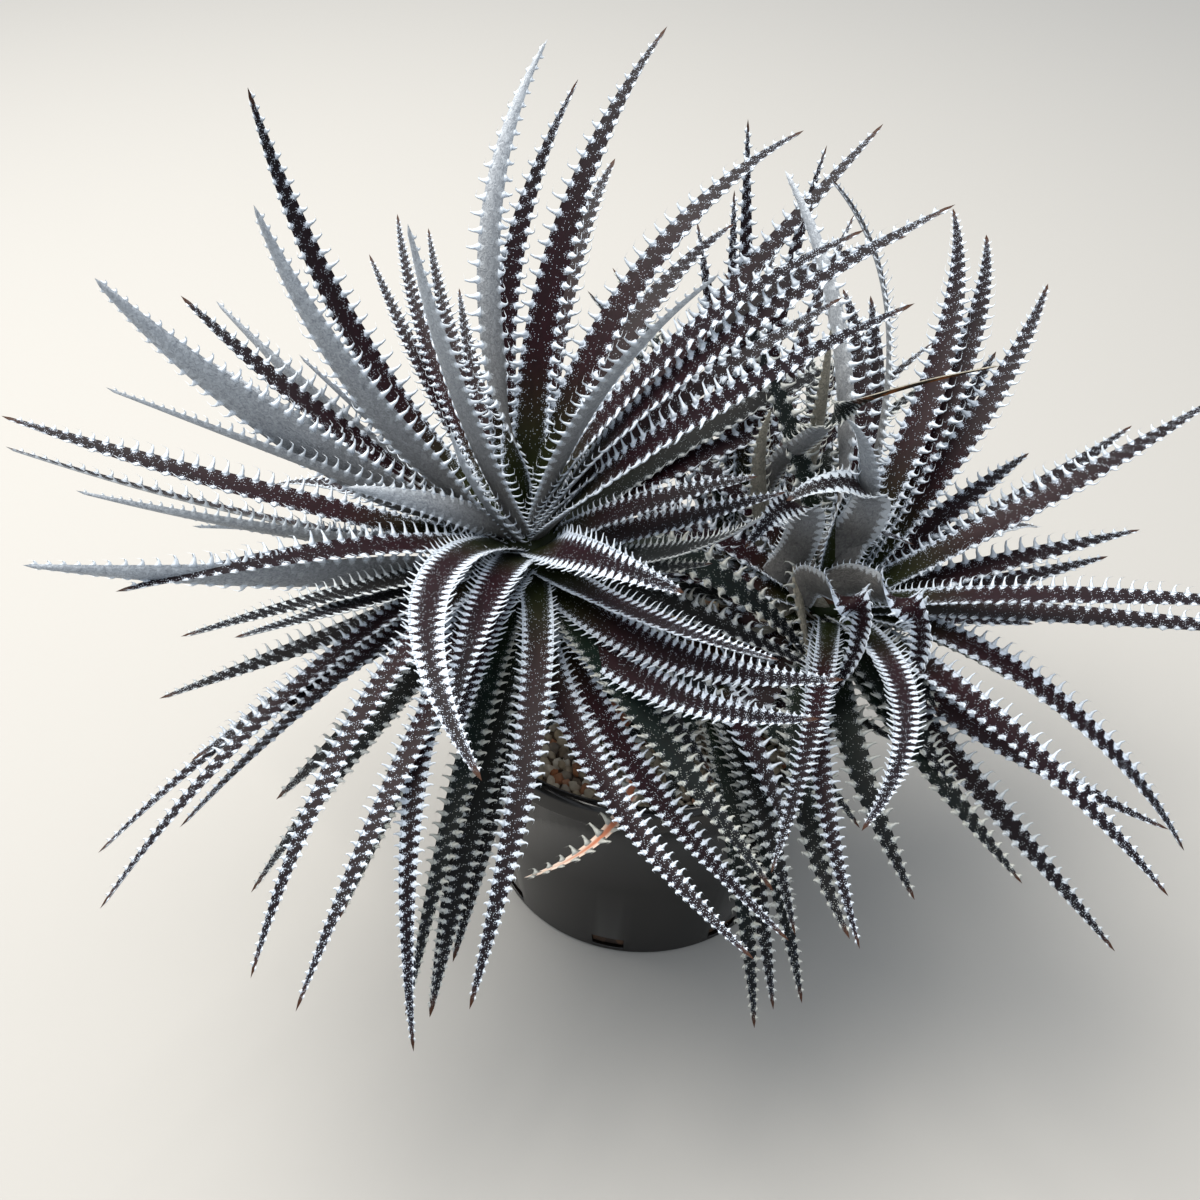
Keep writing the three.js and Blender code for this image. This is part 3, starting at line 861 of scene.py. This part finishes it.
def spines(shape, stations, count, half_width, tone, rng, looks):
    """Adds the spines of one leaf on both its margins, where the count passes a half."""
    steps = len(stations) - 1
    comb, until = looks["comb"], SPINE_UNTIL
    if 0 < looks["dried_from"] < until:
        until = looks["dried_from"]
    part = bmesh.new()
    part.from_mesh(template)
    life = part.verts.layers.float_color["spine"]
    pattern = part.verts[:] + part.edges[:] + part.faces[:]
    for side in (-1, 1):
        for i in range(steps):
            low, high = count[i] + STAGGER * side, count[i + 1] + STAGGER * side
            if i / steps < SPINE_FROM or math.floor(high - 0.5) == math.floor(low - 0.5):
                continue
            blend = (math.floor(high - 0.5) + 0.5 - low) / (high - low)
            s = (i + blend) / steps
            if s > until:
                continue
            place = stations[i][0].lerp(stations[i + 1][0], blend)
            along, left, up = stations[i][1:]
            pitch = spine_pitch(s) * comb
            tilt = math.radians(SPINE_TILT + rng.uniform(-TILT_SPREAD, TILT_SPREAD))
            out = left * (side * math.cos(tilt)) + up * math.sin(tilt)
            out = (out + along * rng.uniform(-LEAN_SPREAD, LEAN_SPREAD)).normalized()
            lift = (along.cross(out) * side).normalized()
            length = SPINE_LENGTH * comb * rng.uniform(*LENGTH_SPREAD)
            length *= ROOT_LENGTH + (1 - ROOT_LENGTH) * ease(s, 0.05, 0.34)
            length *= 1 - LENGTH_LOSS * ease(s, 0.6, 0.97)
            base = pitch * rng.uniform(*BASE_SPREAD) * (1 + BASE_GROWTH * ease(s, 0.7, 1))
            margin = place + left * (side * half_width_at(s, half_width) * MM)
            axes = (out * (length * MM), along * (base * MM), lift * (length * MM))
            matrix = Matrix(axes).transposed()
            copy = bmesh.ops.duplicate(part, geom=pattern)["geom"]
            draw = rng.random()
            for vertex in copy:
                if isinstance(vertex, bmesh.types.BMVert):
                    vertex[life] = (tone, vertex[life][1], draw, s)
                    vertex.co = margin + matrix @ vertex.co
    bmesh.ops.delete(part, geom=[item for item in pattern if isinstance(item, bmesh.types.BMVert)])
    bmesh.ops.recalc_face_normals(part, faces=part.faces)
    pour(part, shape)


def read_leaf(tree):
    """What a skin knows of a point: its place on the leaf in mm and in spines, how maroon and how
    far along the leaf it is, how dried, and how far it lies from the margin in mm."""
    course = add(tree, "Attribute", {}, attribute_name="course").outputs["Vector"]
    life = add(tree, "Attribute", {}, attribute_name="leaf")
    state = add(tree, "SeparateColor", {0: life})
    return course, *(state.outputs[i] for i in range(3)), life.outputs["Alpha"]


def spine_patch(tree, course, share, inset):
    """How far inside the white patch round the nearest spine a point of the skin is, in mm."""
    way = add(tree, "SeparateXYZ", {0: course})
    beat = add(tree, "Math", {0: way.outputs["Z"]}, operation="FRACT")
    centred = add(tree, "Math", {0: beat, 1: 0.5}, operation="SUBTRACT")
    squared = add(tree, "Math", {0: centred, 1: centred}, operation="MULTIPLY")
    # The patches run together near the root and stand apart towards the tip, less so where frosted
    frost = add(tree, "Attribute", {}, attribute_name="frost").outputs["Fac"]
    narrow = add(tree, "Math", {0: frost, 1: 8, 2: -15}, operation="MULTIPLY_ADD")
    apart = add(
        tree,
        "MapRange",
        {"Value": share, "From Min": 0.22, "From Max": 0.55, "To Min": -2.4, "To Max": narrow},
    )
    dome = add(tree, "Math", {0: squared, 1: apart, 2: 1.0}, operation="MULTIPLY_ADD")
    across = add(tree, "Math", {0: way.outputs["Y"]}, operation="ABSOLUTE")
    half = add(tree, "Math", {0: across, 1: inset}, operation="ADD")
    deep = add(tree, "Math", {0: frost, 1: 1.2, 2: 1.8}, operation="MULTIPLY_ADD")
    reach = add(
        tree,
        "MapRange",
        {"Value": share, "From Min": 0.03, "From Max": 0.3, "To Min": 0.4, "To Max": deep},
    )
    narrowing = add(
        tree,
        "MapRange",
        {"Value": share, "From Min": 0.72, "From Max": 0.96, "To Min": 0.68, "To Max": 0.22},
    )
    most = add(tree, "Math", {0: half, 1: narrowing}, operation="MULTIPLY")
    inward = add(tree, "Math", {0: most, 1: reach}, operation="MINIMUM")
    domed = add(tree, "Math", {0: dome, 1: inward}, operation="MULTIPLY")
    fine = add(tree, "Mapping", {"Vector": course, "Scale": (1.3, 2.0, 0)})
    fray = add(tree, "TexNoise", {"Vector": fine, "Scale": 1, "Detail": 3})
    frayed = add(tree, "Math", {0: fray, 1: 3.4, 2: -1.7}, operation="MULTIPLY_ADD")
    edge = add(tree, "Math", {0: domed, 1: frayed}, operation="ADD")
    return add(tree, "Math", {0: edge, 1: inset}, operation="SUBTRACT")


# Upper skin of a living leaf: a satin waxy cuticle, olive at the root, maroon or green along the
# middle and nearly black at the tip, with white scales in lines and white patches at the spines.
upper_skin, tree, shader = new_material("waxy_maroon_leaf_skin")
course, ripeness, share, dryness, inset = read_leaf(tree)
redness = add(
    tree,
    "MapRange",
    {"Value": share, "From Min": 0.1, "From Max": 0.4},
    interpolation_type="SMOOTHSTEP",
)
maroon = add(tree, "Mix", {FACTOR: redness, FIRST: "#22290f", SECOND: "#230910"}, data_type="RGBA")
leaf_green = add(
    tree, "Mix", {FACTOR: redness, FIRST: "#1c2613", SECOND: "#111f1a"}, data_type="RGBA"
)
flesh = add(tree, "Mix", {FACTOR: ripeness, FIRST: leaf_green, SECOND: maroon}, data_type="RGBA")
darkness = add(tree, "MapRange", {"Value": share, "From Min": 0.3, "From Max": 0.85, "To Max": 0.8})
darker = add(tree, "Mix", {FACTOR: darkness, FIRST: flesh, SECOND: "#0b0a11"}, data_type="RGBA")
blotches = add(tree, "Mapping", {"Vector": course, "Scale": (0.12, 0.3, 0)})
shade = add(tree, "TexNoise", {"Vector": blotches, "Scale": 1, "Detail": 3})
shading = add(
    tree, "MapRange", {"Value": shade, "From Min": 0.35, "From Max": 0.75, "To Max": 0.45}
)
skin_colour = add(
    tree, "Mix", {FACTOR: shading, FIRST: darker, SECOND: "#0b0707"}, data_type="RGBA"
)
depth_in = spine_patch(tree, course, share, inset)
# Haze: scales too fine to see one by one, which turn the skin blue-grey towards the patches
haze = add(
    tree,
    "MapRange",
    {"Value": depth_in, "From Min": -1.1, "From Max": 0.1, "To Max": 0.24},
    interpolation_type="SMOOTHSTEP",
)
hazy = add(tree, "Mix", {FACTOR: haze, FIRST: skin_colour, SECOND: "#666d7e"}, data_type="RGBA")
patch = add(
    tree,
    "MapRange",
    {"Value": depth_in, "From Min": -0.1, "From Max": 0.25},
    interpolation_type="SMOOTHSTEP",
)
# Scales: specks about 0.4 mm long, in lines along the leaf. Most real ones are finer, and these
# are as coarse as it takes for them to show
specks = add(tree, "Mapping", {"Vector": course, "Scale": (1.2, 2.3, 0)})
cells = add(tree, "TexVoronoi", {"Vector": specks, "Scale": 1}, voronoi_dimensions="2D")
chance = add(tree, "SeparateColor", {0: cells.outputs["Color"]})
crowding = add(
    tree,
    "MapRange",
    {"Value": depth_in, "From Min": -3, "From Max": 0, "To Min": 0.93, "To Max": 0.35},
)
present = add(tree, "Math", {0: chance.outputs["Red"], 1: crowding}, operation="GREATER_THAN")
small = add(
    tree, "MapRange", {"Value": cells, "From Min": 0.14, "From Max": 0.3, "To Min": 1, "To Max": 0}
)
speck = add(tree, "Math", {0: present, 1: small}, operation="MULTIPLY")
fades = add(tree, "MapRange", {"Value": share, "From Min": 0.04, "From Max": 0.2, "To Max": 0.9})
faint = add(tree, "Math", {0: speck, 1: fades}, operation="MULTIPLY")
white_share = add(tree, "Math", {0: faint, 1: patch}, operation="MAXIMUM")
white = add(tree, "Mix", {FACTOR: ripeness, FIRST: "#a6aaa6", SECOND: "#c8d2df"}, data_type="RGBA")
scaled = add(tree, "Mix", {FACTOR: white_share, FIRST: hazy, SECOND: white}, data_type="RGBA")
# Where it has died: olive brown, and orange in patches
scorch = add(tree, "MapRange", {"Value": shade, "From Min": 0.48, "From Max": 0.6})
brown = add(tree, "Mix", {FACTOR: scorch, FIRST: "#241c12", SECOND: "#6f421f"}, data_type="RGBA")
dried = add(tree, "Mix", {FACTOR: dryness, FIRST: scaled, SECOND: brown}, data_type="RGBA")
point = add(tree, "MapRange", {"Value": share, "From Min": 0.955, "From Max": 0.985})
pointed = add(tree, "Mix", {FACTOR: point, FIRST: dried, SECOND: "#3a2317"}, data_type="RGBA")
waxiness = add(tree, "MapRange", {"Value": white_share, "To Min": 0.48, "To Max": 0.7})
felt = add(tree, "Bump", {"Height": white_share, "Strength": 0.35, "Distance": 0.25 * MM})
feed(
    tree,
    shader,
    {
        "Base Color": pointed,
        "Roughness": waxiness,
        "Normal": felt,
        "IOR": 1.45,
        "Specular IOR Level": 0.15,
    },
)

# Underside of a leaf: covered with silver scales pressed into a felt, with fine wrinkles along it.
under_skin, tree, shader = new_material("silver_felted_leaf_underside")
course, _, share, dryness, inset = read_leaf(tree)
lengthwise = add(tree, "Mapping", {"Vector": course, "Scale": (0.55, 0.75, 0)})
wrinkles = add(
    tree,
    "TexNoise",
    {"Vector": lengthwise, "Scale": 1, "Detail": 4, "Roughness": 0.6, "Distortion": 1.6},
)
silver = add(tree, "MapRange", {"Value": wrinkles, "From Min": 0.3, "From Max": 0.7})
# Darker and browner towards the root, pale silver towards the tip
paler_towards_tip = add(tree, "MapRange", {"Value": share, "From Min": 0.25, "From Max": 0.85})
hollows = add(tree, "Mix", {FACTOR: paler_towards_tip, FIRST: "#4b4947", SECOND: "#868c95"}, data_type="RGBA")
ridges = add(tree, "Mix", {FACTOR: paler_towards_tip, FIRST: "#74726f", SECOND: "#c3cad1"}, data_type="RGBA")
felt_ground = add(tree, "Mix", {FACTOR: silver, FIRST: hollows, SECOND: ridges}, data_type="RGBA")
# The white of the spines' bases shows through from the margin
pale = add(
    tree,
    "MapRange",
    {
        "Value": spine_patch(tree, course, share, inset),
        "From Min": -0.6,
        "From Max": 0.5,
        "To Max": 0.6,
    },
    interpolation_type="SMOOTHSTEP",
)
felt_colour = add(
    tree, "Mix", {FACTOR: pale, FIRST: felt_ground, SECOND: "#cdd3d9"}, data_type="RGBA"
)
parched = add(tree, "Mix", {FACTOR: silver, FIRST: "#5f5b52", SECOND: "#a39d8d"}, data_type="RGBA")
dried = add(tree, "Mix", {FACTOR: dryness, FIRST: felt_colour, SECOND: parched}, data_type="RGBA")
wrinkled = add(tree, "Bump", {"Height": wrinkles, "Strength": 0.9, "Distance": 0.5 * MM})
feed(tree, shader, {"Base Color": dried, "Roughness": 0.62, "Normal": wrinkled})

# Horny tissue of a spine, chalk white on the maroon leaves and greyer on the green ones, and
# tan at its point.
horn, tree, shader = new_material("white_horny_spine")
life = add(tree, "Attribute", {}, attribute_name="spine")
state = add(tree, "SeparateColor", {0: life})
chalk = add(
    tree,
    "Mix",
    {FACTOR: state.outputs["Red"], FIRST: "#aeb0aa", SECOND: "#ced7e1"},
    data_type="RGBA",
)
sharp = add(
    tree,
    "MapRange",
    {"Value": state.outputs["Green"], "From Min": 0.75, "From Max": 1.0, "To Max": 0.3},
)
horn_colour = add(tree, "Mix", {FACTOR: sharp, FIRST: chalk, SECOND: "#cdb89a"}, data_type="RGBA")
feed(tree, shader, {"Base Color": horn_colour, "Roughness": 0.5})

# The leaves are numbered through, so that no two carry the same stretch of the skin's patterns
number = 0
for head in HEADS:
    heart = Vector(head["heart"])
    rng = random.Random(len(head["leaves"]))
    leaves = leaf_shape()
    hooks = bmesh.new()
    hooks.verts.layers.float_color.new("spine")
    for row in head["leaves"]:
        number += 1
        rise, length = row[1], row[4]
        looks = traits(row)
        looks["frost"] += rng.uniform(0, FROST_SPREAD)
        half_width = head["half_width"] * looks["width"]
        start = heart - Vector((0, 0, AGE_DROP * (1 - rise / 90)))
        stations = midrib(start, row, max(FEWEST_STATIONS, round(length / STATION)))
        tone = min(1, max(0, 1 - looks["green"] + rng.uniform(-TONE_SPREAD, TONE_SPREAD)))
        count = blade(leaves, stations, length, half_width, tone, number, looks)
        spines(hooks, stations, count, half_width, tone, rng, looks)
    for leaf in CURLED:
        if leaf["head"] != head["name"]:
            continue
        number += 1
        through = leaf["through"]
        length = sum(math.dist(*pair) for pair in zip(through, through[1:]))
        steps = round(length / CURLED_STATION)
        looks = {**USUAL, "twist": STRAIGHT, **leaf}
        stations = curled_midrib(through, looks["facing"], looks["twist"], steps)
        half_width, tone = looks["half_width"], 1 - looks["green"]
        count = blade(leaves, stations, length, half_width, tone, number, looks)
        spines(hooks, stations, count, half_width, tone, rng, looks)
    node = "rosette_" + head["name"]
    place_piece("leaves_" + head["name"], leaves, [upper_skin, under_skin], node)
    place_piece("spines_" + head["name"], hooks, [horn], node)

# Stems: each rosette stands on a short woody stem, wrapped in the brown bases of leaves that have
# died back. At its top the bases of the living leaves are packed into a green crown.
CROWN_FLATNESS = 0.76
CROWN_SHARE = 0.7  # the solid heart inside the leaf bases
STUB_PITCH = 137.5  # degrees from one old leaf base to the next
STUB_RISE = 1.5  # and how much higher it stands, in millimetres
STUB_LENGTHS = (15, 24)
STUB_SPREAD = 12  # degrees
STUB_HALF_WIDTH = 5.5
STUB_DEPTH = 1.4
STUB_STEPS = 6
STUB_LOOKS = {**USUAL, "dried_from": -1}
STEM_FLOOR = 93  # just above the potting mix
STEM_TAPER = 0.9
STUBS_UNTIL = 0.85  # share of the stem that carries them

for head in HEADS:
    heart, foot = Vector(head["heart"]), Vector(head["foot"])
    rng = random.Random(40 + len(head["leaves"]))
    stem = leaf_shape()
    life = stem.verts.layers.float_color["leaf"]
    base = foot.lerp(heart, (STEM_FLOOR - foot.z) / (heart.z - foot.z))
    axis = heart - base
    upright = axis.to_track_quat("Z", "Y").to_matrix().to_4x4()
    core = bmesh.ops.create_cone(
        stem,
        cap_ends=True,
        segments=20,
        radius1=head["stem_radius"] * MM,
        radius2=head["stem_radius"] * STEM_TAPER * MM,
        depth=axis.length * MM,
        matrix=Matrix.Translation((base + heart) / 2 * MM) @ upright,
    )
    for vertex in core["verts"]:
        vertex[life] = (0, 0.1, 1, 0)
    middle = heart - Vector((0, 0, AGE_DROP / 2))
    crown = bmesh.ops.create_uvsphere(
        stem,
        u_segments=32,
        v_segments=20,
        radius=head["crown_radius"] * CROWN_SHARE * MM,
        matrix=Matrix.Translation(middle * MM) @ Matrix.Diagonal((1, 1, CROWN_FLATNESS, 1)),
    )
    for vertex in crown["verts"]:
        vertex[life] = (0.5, 0, 0, 9)
    stubs = int((middle.z - STEM_FLOOR) / STUB_RISE)
    for i in range(stubs):
        share = i / stubs
        start = base + axis * (share * STUBS_UNTIL)
        # Bearing, rise, droop, sweep and length: upright at the foot, flatter towards the top
        row = (
            STUB_PITCH * i + rng.uniform(-STUB_SPREAD, STUB_SPREAD),
            70 - 30 * share + rng.uniform(-8, 8),
            -10 + rng.uniform(-10, 10),
            rng.uniform(-STUB_SPREAD, STUB_SPREAD),
            rng.uniform(*STUB_LENGTHS),
        )
        stations = midrib(start, row, STUB_STEPS)
        number += 1
        blade(stem, stations, row[4], STUB_HALF_WIDTH, 0, number, STUB_LOOKS, STUB_DEPTH)
    node = "rosette_" + head["name"]
    place_piece("stem_" + head["name"], stem, [upper_skin, under_skin], node)

# Dead leaf: one old leaf of the main rosette, dried to beige paper with an orange-brown midline,
# its spines still white. It hangs over the rim at the front.
DRY_START = (-36.5, 2.5, 104.5)
DRY_ROW = (322.4, 8, -4.4, -111.9, 156.9)
DRY_HALF_WIDTH = 3.6
DRY_LOOKS = {**USUAL, "comb": 1.35}
DRY_DEPTH = 0.9

paper_leaf = leaf_shape()
hooks = bmesh.new()
hooks.verts.layers.float_color.new("spine")
stations = midrib(DRY_START, DRY_ROW, round(DRY_ROW[4] / STATION))
count = blade(paper_leaf, stations, DRY_ROW[4], DRY_HALF_WIDTH, 0.5, 0, DRY_LOOKS, DRY_DEPTH)
spines(hooks, stations, count, DRY_HALF_WIDTH, 0, random.Random(5), DRY_LOOKS)

# A leaf dead for months: dry, papery and matt, with fine fibres along it, bleached beige, and
# orange brown along its folded middle.
dead_skin, tree, shader = new_material("dried_papery_leaf")
course = add(tree, "Attribute", {}, attribute_name="course").outputs["Vector"]
inset = add(tree, "Attribute", {}, attribute_name="leaf").outputs["Alpha"]
fibre = add(tree, "Mapping", {"Vector": course, "Scale": (0.15, 2.2, 0)})
fibres = add(tree, "TexNoise", {"Vector": fibre, "Scale": 1, "Detail": 5})
middle_line = add(
    tree,
    "MapRange",
    {"Value": inset, "From Min": 0.5, "From Max": 1.7, "To Max": 0.85},
    interpolation_type="SMOOTHSTEP",
)
streaks = add(tree, "MapRange", {"Value": fibres, "From Min": 0.35, "From Max": 0.7, "To Max": 0.5})
bleached = add(
    tree, "Mix", {FACTOR: streaks, FIRST: "#dccabb", SECOND: "#c9a48a"}, data_type="RGBA"
)
dead_colour = add(
    tree, "Mix", {FACTOR: middle_line, FIRST: bleached, SECOND: "#b0592b"}, data_type="RGBA"
)
crinkled = add(tree, "Bump", {"Height": fibres, "Strength": 0.6, "Distance": 0.4 * MM})
feed(tree, shader, {"Base Color": dead_colour, "Roughness": 0.85, "Normal": crinkled})
place_piece("dead_leaf", paper_leaf, [dead_skin, dead_skin], "dry_leaf")
place_piece("dead_leaf_spines", hooks, [horn], "dry_leaf")

# Stage: a plain pale floor, a large soft light from above and behind on the left, and a pale sky.
FLOOR_SIZE = 6
SOFTBOX_PLACE = (-0.5, 0.35, 1.5)
SOFTBOX_TARGET = Vector((0, 0, 0.12))
floor_shape = bmesh.new()
bmesh.ops.create_grid(floor_shape, x_segments=1, y_segments=1, size=FLOOR_SIZE / 2)
floor_mesh = bpy.data.meshes.new("floor")
floor_shape.to_mesh(floor_mesh)
floor_shape.free()
floor = bpy.data.objects.new("floor", floor_mesh)
bpy.context.scene.collection.objects.link(floor)
paper, tree, shader = new_material("pale_backdrop_paper")
feed(tree, shader, {"Base Color": "#a8a6a2", "Roughness": 0.8})
floor_mesh.materials.append(paper)

world = bpy.data.worlds.new("soft_sky")
world.use_nodes = True
sky = world.node_tree.nodes["Background"]
feed(world.node_tree, sky, {"Color": "#dfe6ee", "Strength": 0.95})
bpy.context.scene.world = world

softbox = bpy.data.lights.new("softbox", "AREA")
softbox.shape = "SQUARE"
softbox.size = 1.4
softbox.energy = 50
softbox.color = linear("#fffaf2")[:3]
softbox_holder = bpy.data.objects.new("softbox", softbox)
bpy.context.scene.collection.objects.link(softbox_holder)
softbox_holder.location = SOFTBOX_PLACE
aim = SOFTBOX_TARGET - softbox_holder.location
softbox_holder.rotation_euler = aim.to_track_quat("-Z", "Y").to_euler()

# Camera: a 42 mm lens looking down at 41 degrees from in front
CAMERA_PLACE = (-0.0207, -0.4245, 0.5182)
CAMERA_PITCH = 41.2
CAMERA_ROLL = 1.4
lens = bpy.data.cameras.new("camera")
lens.lens = 42
lens.sensor_width = 36
camera = bpy.data.objects.new("camera", lens)
bpy.context.scene.collection.objects.link(camera)
pitched = Matrix.Rotation(math.radians(90 - CAMERA_PITCH), 4, "X")
rolled = Matrix.Rotation(math.radians(CAMERA_ROLL), 4, "Z")
camera.matrix_world = Matrix.Translation(CAMERA_PLACE) @ pitched @ rolled
bpy.context.scene.camera = camera

bpy.context.scene.view_settings.view_transform = "Standard"
